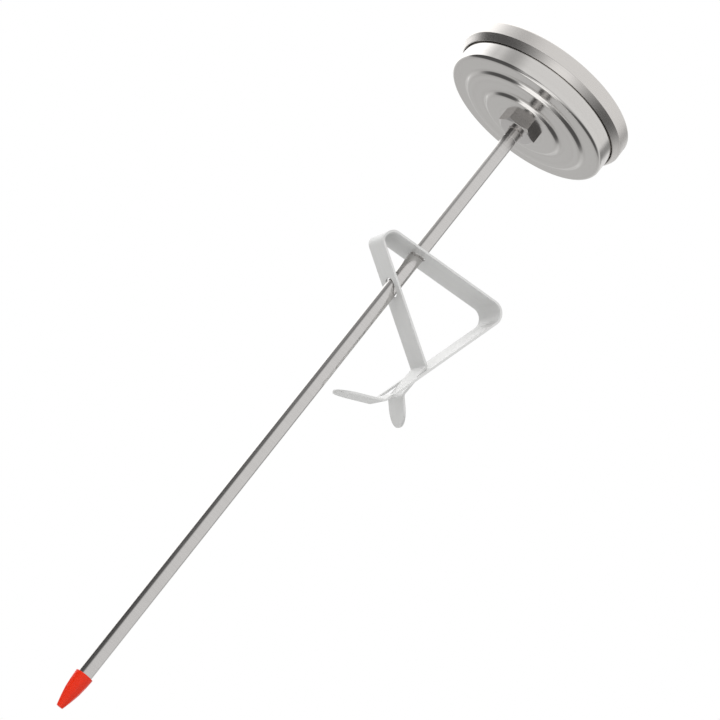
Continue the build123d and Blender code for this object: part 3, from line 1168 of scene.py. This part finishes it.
@dataclass
class Clip:
    """The spring clip: one strip bent to a triangle, its narrow tongue passing through the long leg."""

    sheet: float = 0.6
    width: float = 15.0
    tongue_width: float = 11.0
    place: float = -45.1
    apex: tuple[float, float] = (-15.5, -1.9)
    shoulder: tuple[float, float] = (28.0, 3.4)
    fold: tuple[float, float] = (19.3, -22.7)
    tongue_bend: tuple[float, float] = (18.9, -32.6)
    tongue_end: tuple[float, float] = (24.8, -38.6)
    leg_bend: tuple[float, float] = (16.1, -37.1)
    leg_end: tuple[float, float] = (5.0, -42.8)
    apex_round: float = 2.1
    shoulder_round: float = 3.5
    fold_round: float = 0.9
    tab_bend_round: float = 1.6
    slot_top: float = -23.6
    slot_bottom: float = -34.2
    slot_gap: float = 0.5
    neck_top: float = -35.0
    stub_share: float = 0.17
    stem_radius: float = 2.0
    grip_gap: float = 0.08
    hole_back: float = 2.65
    upper_hole_front: float = 3.0
    lower_hole_front: float = 2.8
    hole_corner: float = 1.7
    tab_corner: float = 5.2
    edge: float = 0.07
    arc_step: float = 6.0
    near: float = 0.01
    spare: float = 1.0
    edge_angle: float = 50.0

    def corner(self, point: tuple[float, float], bend: float = 0.0) -> Corner:
        """A route corner at one of the clip's own bend points."""
        return Corner(point[0], self.place + point[1], bend)

    def stub(self) -> tuple[float, float]:
        """Where the sloping leg has narrowed to the tongue's width."""
        return tuple(a + (b - a) * self.stub_share for a, b in zip(self.apex, self.fold))

    def split(self, piece: Piece, wanted: Wanted, half_width: float) -> None:
        """Scores the picked faces along both sides of a middle band."""
        for side in (-half_width, half_width):
            score(piece, wanted, Vector((0, side, 0)), Vector((0, 1, 0)))

    def punch(self, piece: Piece, start: tuple[float, float], end: tuple[float, float], front: float) -> None:
        """Cuts the hole that the stem passes through in one straight leg.

        Args:
            piece: The flat strip in edit mode.
            start: Bend point where the leg starts.
            end: Bend point where the leg ends.
            front: Reach of the hole towards -Y.
        """
        along = Vector((end[0] - start[0], 0, end[1] - start[1])).normalized()
        height = start[1] - start[0] * along.z / along.x
        middle = Vector((0, 0, self.place + height))
        across = Vector((-along.z, 0, along.x))
        lean = abs(math.atan2(along.z, along.x))
        room = 2 * (self.stem_radius + self.grip_gap) + self.sheet * math.sin(lean)
        half = room / math.cos(lean) / 2
        span = 2 * self.sheet

        def near(spot: Vector) -> bool:
            """Whether a spot is in this leg's sheet."""
            return abs((spot - middle).dot(across)) < span and start[0] < spot.x < end[0]

        def inside(spot: Vector) -> bool:
            """Whether a spot is in the sheet that the punch takes out."""
            return near(spot) and abs((spot - middle).dot(along)) < half and -front < spot.y < self.hole_back

        def hole_corner(spot: Vector) -> bool:
            """Whether a spot is a corner of the hole."""
            lengthways = abs(abs((spot - middle).dot(along)) - half) < MERGE
            sideways = min(abs(spot.y + front), abs(spot.y - self.hole_back)) < MERGE
            return near(spot) and lengthways and sideways

        for side in (-half, half):
            score(piece, near, middle + along * side, along)
        for side in (-front, self.hole_back):
            score(piece, near, Vector((0, side, 0)), Vector((0, 1, 0)))
        pick(piece, inside)
        bpy.ops.mesh.delete(type="FACE")
        self.round_corners(piece, hole_corner, self.hole_corner)

    def round_corners(self, piece: Piece, wanted: Wanted, radius: float) -> None:
        """Rounds the picked corners of the flat sheet."""
        pick(piece, wanted, "VERT")
        bpy.ops.mesh.bevel(offset=radius * MM, segments=CORNER_STEPS, affect="VERTICES", offset_type="OFFSET")

    def narrow_apex(self, piece: Piece) -> None:
        """Narrows the strip evenly round the apex bend, from its full width to the tongue's.

        Args:
            piece: The flat strip in edit mode.
        """
        points = (self.apex, self.shoulder, self.fold)
        apex, shoulder, fold = (self.corner(point).place() / MM for point in points)
        back, ahead = (fold - apex).normalized(), (shoulder - apex).normalized()
        half_turn = (math.pi - back.angle(ahead)) / 2
        centre = apex + (back + ahead).normalized() * self.apex_round / math.cos(half_turn)
        outward = (apex - centre).normalized()
        share = self.tongue_width / self.width
        steps = max(2, math.ceil(2 * math.degrees(half_turn) / self.arc_step))
        for step in range(steps + 1):
            turn = half_turn * (2 * step / steps - 1)
            spot = centre + Matrix.Rotation(turn, 3, "Y") @ outward * self.apex_round
            smooth = (1 + math.sin(math.pi * (step / steps - 0.5))) / 2
            self.narrow_row(piece, spot, 1 - (1 - share) * (1 - smooth))
        self.narrow_row(piece, self.corner(self.stub()).place() / MM, share)

    def at_row(self, row: Vector) -> Wanted:
        """A test for what lies across the strip at a place of its route, in millimetres."""
        return lambda spot: (spot - Vector((row.x, spot.y, row.z))).length < self.near

    def narrow_row(self, piece: Piece, row: Vector, share: float) -> None:
        """Brings the points across the strip at one place nearer to its middle."""
        pick(piece, self.at_row(row), "VERT")
        bpy.ops.transform.resize(value=(1, share, 1), center_override=(0, 0, 0))

    def long_part(self) -> Piece:
        """Draws the wide strip: stub, apex, upper leg, and the long leg with its slot, neck and tab.

        Returns:
            The flat strip, in edit mode.
        """
        stub = self.stub()
        piece = start_piece("pot_clip", self.corner(stub).place() - metres(0, self.width / 2, 0))
        extrude(metres(0, self.width, 0))
        bpy.ops.mesh.select_all(action="SELECT")
        draw_route(
            [
                self.corner(stub),
                self.corner(self.apex, self.apex_round),
                self.corner(self.shoulder, self.shoulder_round),
                self.corner(self.leg_bend, self.tab_bend_round),
                self.corner(self.leg_end),
            ],
            self.arc_step,
        )
        close_seams(outward=False)
        self.narrow_apex(piece)
        leg_top = self.place + self.shoulder[1] - self.shoulder_round

        def on_long_leg(spot: Vector) -> bool:
            """Whether a spot is in the straight of the long leg."""
            return spot.x > self.leg_bend[0] - self.spare and spot.z < leg_top

        def below_neck(spot: Vector) -> bool:
            """Whether a spot is in the narrow end of the long leg."""
            return spot.x > 0 and spot.z < self.place + self.neck_top

        for height in (self.neck_top, self.slot_top, self.slot_bottom):
            score(piece, on_long_leg, Vector((0, 0, self.place + height)), Vector((0, 0, 1)))
        half_tongue = self.tongue_width / 2
        self.split(piece, below_neck, half_tongue)
        pick(piece, lambda spot: below_neck(spot) and abs(spot.y) > half_tongue)
        bpy.ops.mesh.delete(type="FACE")

        def at_slot(spot: Vector) -> bool:
            """Whether a spot is at the height of the slot."""
            return on_long_leg(spot) and self.place + self.slot_bottom < spot.z < self.place + self.slot_top

        half_slot = half_tongue + self.slot_gap
        self.split(piece, at_slot, half_slot)
        pick(piece, lambda spot: at_slot(spot) and abs(spot.y) < half_slot)
        bpy.ops.mesh.delete(type="FACE")
        self.punch(piece, self.apex, self.shoulder, self.upper_hole_front)
        return piece

    def add_tongue(self, piece: Piece) -> None:
        """Draws the narrow tongue on from the end of the stub.

        Args:
            piece: The flat strip in edit mode.
        """
        stub = self.stub()
        pick(piece, self.at_row(self.corner(stub).place() / MM), "EDGE")
        bpy.ops.mesh.select_mode(type="VERT")
        draw_route(
            [
                self.corner(stub),
                self.corner(self.fold, self.fold_round),
                self.corner(self.tongue_bend, self.tab_bend_round),
                self.corner(self.tongue_end),
            ],
            self.arc_step,
        )
        self.punch(piece, self.apex, self.fold, self.lower_hole_front)

    def build(self) -> None:
        """Makes the flat strip's shape, gives it its thickness and dresses it."""
        piece = self.long_part()
        self.add_tongue(piece)
        for end in (self.leg_end, self.tongue_end):
            self.round_corners(piece, self.at_row(self.corner(end).place() / MM), self.tab_corner)
        close_seams()
        apply_modifier(piece, "SOLIDIFY", thickness=self.sheet * MM, offset=0, use_even_offset=True)
        edge = {"width": self.edge * MM, "segments": EDGE_STEPS, "angle_limit": math.radians(self.edge_angle)}
        apply_modifier(piece, "BEVEL", limit_method="ANGLE", **edge)
        hand_over(smoothed(piece), ROLLED_STRIP, Place("clip", "clip_steel", ("pan_clip",)))


# ---------------------------------------------------------------- point cap


@dataclass
class PointCap:
    """The soft cap over the point: round at its mouth, with eight faint flats down its sides."""

    top: float = -185.6
    bottom: float = -195.6
    top_radius: float = 2.5
    middle_radius: float = 2.06
    end_radius: float = 0.9
    bore: float = 2.03
    cone_top: float = -187.2
    bore_bottom: float = -194.6
    bore_end: float = 0.38
    flats: int = 8
    corner_share: float = 1.035
    mouth_share: float = 1.25
    belly: float = 0.08
    side_round: float = 9.0
    mouth_round: float = 0.1
    end_round: float = 0.2
    spare: float = 1.0

    def side(self, share: float, mouth_share: float) -> list[Corner]:
        """Corners down the outside of the cap.

        Args:
            share: Factor on the radii of the sides.
            mouth_share: Factor on the radius of the mouth, which also stands taller where it is not 1.

        Returns:
            The corners, from the mouth to the middle of the closed end.
        """
        middle = (self.top + self.bottom) / 2
        spare = 0.0 if share == 1.0 else self.spare
        upper = (self.top_radius + self.middle_radius) / 2 + self.belly
        lower = (self.middle_radius + self.end_radius) / 2 + self.belly
        return [
            Corner(self.top_radius * mouth_share, self.top + spare, self.mouth_round),
            Corner(upper * share, (self.top + middle) / 2, self.side_round),
            Corner(self.middle_radius * share + self.belly / 2, middle, self.side_round),
            Corner(lower * share, (self.bottom + middle) / 2, self.side_round),
            Corner(self.end_radius * share, self.bottom - spare, self.end_round),
            Corner(0, self.bottom - spare),
        ]

    def build(self) -> None:
        """Turns the cap, trims its flats with an eight-sided body and dresses it."""
        hollow = [
            Corner(0, self.bore_bottom),
            Corner(self.bore_end, self.bore_bottom),
            Corner(self.bore, self.cone_top),
            Corner(self.bore, self.top, self.mouth_round),
        ]
        cap = turned("point_cap", [*hollow, *self.side(1.0, 1.0)], THIN_TURN_STEPS)
        around = [Corner(0, self.top + self.spare), *self.side(self.corner_share, self.mouth_share)]
        trim = turned("cap_trim", around, self.flats)
        combine(cap, trim, "INTERSECT")
        smoothed(cap)
        hand_over(cap, RED_VINYL, Place("cap", "cap_red", ("tip_cap",)))


# ---------------------------------------------------------------- studio


def direction(azimuth: float, elevation: float) -> Vector:
    """The direction at an azimuth, from +X towards +Y, and an elevation, in degrees."""
    turn, rise = math.radians(azimuth), math.radians(elevation)
    return Vector((math.cos(turn) * math.cos(rise), math.sin(turn) * math.cos(rise), math.sin(rise)))


@dataclass(frozen=True)
class Glow:
    """A soft bright or dark area of the studio, seen in the metal's reflections.

    Angles are degrees: the middle's azimuth and elevation, and the radii where the area is full and gone.
    """

    azimuth: float
    elevation: float
    full: float
    gone: float
    level: float

    def share(self, sheet: Sheet, ray: Socket) -> Socket:
        """Adds the nodes that find how much of the area a ray meets.

        Args:
            sheet: The world's node tree.
            ray: The ray's direction.

        Returns:
            A socket from 0 outside the area to 1 in its middle.
        """
        towards = direction(self.azimuth, self.elevation)
        along = sheet.add("ShaderNodeVectorMath", {1: towards}, {0: ray}, operation="DOT_PRODUCT")
        low, high = (math.cos(math.radians(angle)) for angle in (self.gone, self.full))
        spread = {"From Min": low, "From Max": high}
        value = {"Value": along.outputs["Value"]}
        return sheet.add("ShaderNodeMapRange", spread, value, interpolation_type="SMOOTHSTEP").outputs[0]


@dataclass
class Studio:
    """White surroundings with soft boxes and dark cards, one soft lamp, the paper floor and the camera."""

    upper_level: float = 0.85
    lower_level: float = 0.55
    horizon: tuple[float, float] = (-0.5, 0.3)
    glows: tuple[Glow, ...] = (
        Glow(122, 34, 26, 44, 1.6),
        Glow(160, -6, 18, 34, 0.06),
        Glow(-165, -2, 8, 35, 0.08),
        Glow(170, -35, 20, 45, 0.10),
        Glow(-10, -42, 18, 45, 0.10),
        Glow(-102, -44, 10, 25, 1.1),
        Glow(-150, -80, 12, 20, 1.35),
        Glow(28, 18, 5, 16, 0.28),
        Glow(-124, -14, 6, 16, 0.15),
    )
    floor_height: float = -0.95
    floor_size: float = 30.0
    floor_cuts: int = 3
    lamp_azimuth: float = 215.0
    lamp_elevation: float = 25.0
    lamp_distance: float = 1.2
    lamp_size: float = 0.7
    lamp_power: float = 6.0
    lens: float = 125.0
    sensor: float = 36.0
    camera_place: tuple[float, float, float] = (-0.12568, -0.61347, -0.26050)
    camera_right: tuple[float, float, float] = (0.7313, -0.3341, 0.5946)
    camera_up: tuple[float, float, float] = (-0.6519, -0.0862, 0.7534)
    nearest: float = 0.01

    def surroundings(self) -> None:
        """Builds the world: white behind the object, soft boxes and cards in what it reflects."""
        world = bpy.data.worlds.new("studio")
        bpy.context.scene.world = world
        world.use_nodes = True
        world.node_tree.nodes.clear()
        sheet = Sheet(world.node_tree)
        ray = sheet.add("ShaderNodeTexCoord").outputs["Generated"]
        height = sheet.add("ShaderNodeSeparateXYZ", links={0: ray}).outputs["Z"]
        low, high = self.horizon
        rise = {"From Min": low, "From Max": high, "To Min": self.lower_level, "To Max": self.upper_level}
        level = sheet.add("ShaderNodeMapRange", rise, {"Value": height}).outputs[0]
        for glow in self.glows:
            links = {0: glow.share(sheet, ray), 2: level}
            level = sheet.add("ShaderNodeMix", {3: glow.level}, links).outputs[0]
        seen = sheet.add("ShaderNodeLightPath").outputs["Is Camera Ray"]
        strength = sheet.add("ShaderNodeMix", {3: 1.0}, {0: seen, 2: level}).outputs[0]
        light = sheet.add("ShaderNodeBackground", {"Color": (1, 1, 1, 1)}, {"Strength": strength})
        sheet.add("ShaderNodeOutputWorld", links={"Surface": light.outputs[0]})

    def floor(self) -> None:
        """Lays the paper, far enough below that no view from under the object meets it."""
        stop_editing()
        bpy.ops.mesh.primitive_plane_add(size=self.floor_size, location=(0, 0, self.floor_height))
        paper = bpy.context.object
        paper.name = "studio_floor"
        bpy.ops.object.mode_set(mode="EDIT")
        bpy.ops.mesh.subdivide(number_cuts=self.floor_cuts)
        bpy.ops.object.mode_set(mode="OBJECT")
        bpy.ops.object.transform_apply(location=True, rotation=True, scale=True)
        paper.data.materials.append(STUDIO_PAPER.material())
        paper.visible_glossy = False

    def lamp(self) -> None:
        """Hangs the one soft lamp, which lights but is not seen in the metal."""
        aim = (cad_box[0] + cad_box[1]) / 2
        away = direction(self.lamp_azimuth, self.lamp_elevation)
        stop_editing()
        bpy.ops.object.light_add(type="AREA", location=aim + away * self.lamp_distance)
        lamp = bpy.context.object
        lamp.data.size = self.lamp_size
        lamp.data.energy = self.lamp_power
        lamp.rotation_euler = away.to_track_quat("Z", "Y").to_euler()
        lamp.visible_glossy = False

    def camera(self) -> None:
        """Sets the camera low and to the left, looking up along the stem at the back of the head."""
        stop_editing()
        bpy.ops.object.camera_add()
        camera = bpy.context.object
        camera.data.lens = self.lens
        camera.data.sensor_width = self.sensor
        right, up = Vector(self.camera_right), Vector(self.camera_up)
        axes = Matrix((right, up, right.cross(up))).transposed()
        camera.matrix_world = Matrix.Translation(self.camera_place) @ axes.to_4x4()
        camera.data.clip_start = self.nearest
        bpy.context.scene.camera = camera
        bpy.context.scene.view_settings.view_transform = "Standard"

    def build(self) -> None:
        """Sets up the surroundings, floor, lamp and camera."""
        self.surroundings()
        self.floor()
        self.lamp()
        self.camera()
        log.info("studio ready")


def main() -> None:
    """Builds every sub-assembly in order."""
    logging.basicConfig(level=logging.INFO, format="%(name)s: %(message)s")
    for assembly in (Stem(), Head(), Dial(), Movement(), Clip(), PointCap(), Studio()):
        log.info("making %s", type(assembly).__name__)
        assembly.build()
    stop_editing()


if __name__ == "__main__":
    main()
